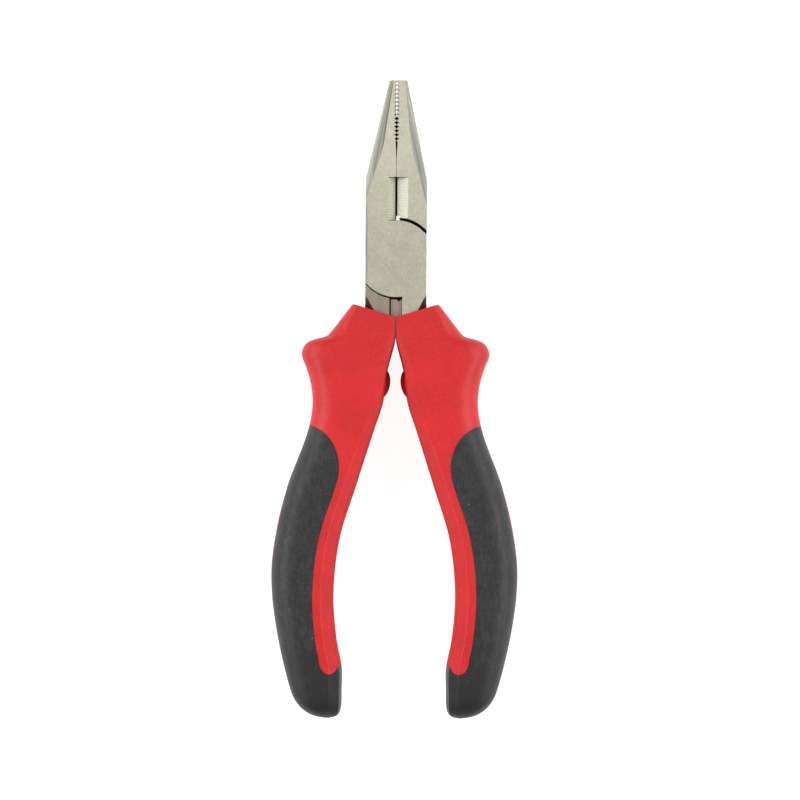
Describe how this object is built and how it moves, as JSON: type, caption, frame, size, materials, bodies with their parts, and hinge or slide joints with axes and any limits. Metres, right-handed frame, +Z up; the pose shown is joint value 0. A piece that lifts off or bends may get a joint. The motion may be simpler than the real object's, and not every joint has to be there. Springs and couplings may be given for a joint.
{
  "type": "needle nose pliers",
  "caption": "Needle nose pliers with toothed half-round jaws, a side cutter, a riveted lap joint and moulded grips of hard plastic with soft sleeves.",
  "frame": {"origin": "middle of the closed pliers' bounding box in plan, on the surface they lie on", "axes": "+Y from the grips to the jaw tips, +X to the right seen from the front, +Z up out of the front face"},
  "size_m": [0.0618, 0.16, 0.0158],
  "materials": {
    "forged_steel": "nickel plated and ground, fine grain along the nose",
    "rivet_steel": "ground flush with the head",
    "red_plastic": "satin moulded plastic",
    "black_rubber": "matte soft-touch rubber"
  },
  "bodies": {
    "front_half": {"front_jaw_half": "forged_steel", "pivot_rivet": "rivet_steel", "right_grip_core": "red_plastic", "right_grip_sleeve": "black_rubber"},
    "back_half": {"back_jaw_half": "forged_steel", "left_grip_core": "red_plastic", "left_grip_sleeve": "black_rubber"}
  },
  "joints": [
    {"name": "jaw_pivot", "type": "hinge", "parent": "front_half", "child": "back_half", "pos_m": [0, 0.035, 0.0079], "axis": [0, 0, -1], "range_deg": [0, 70]}
  ]
}
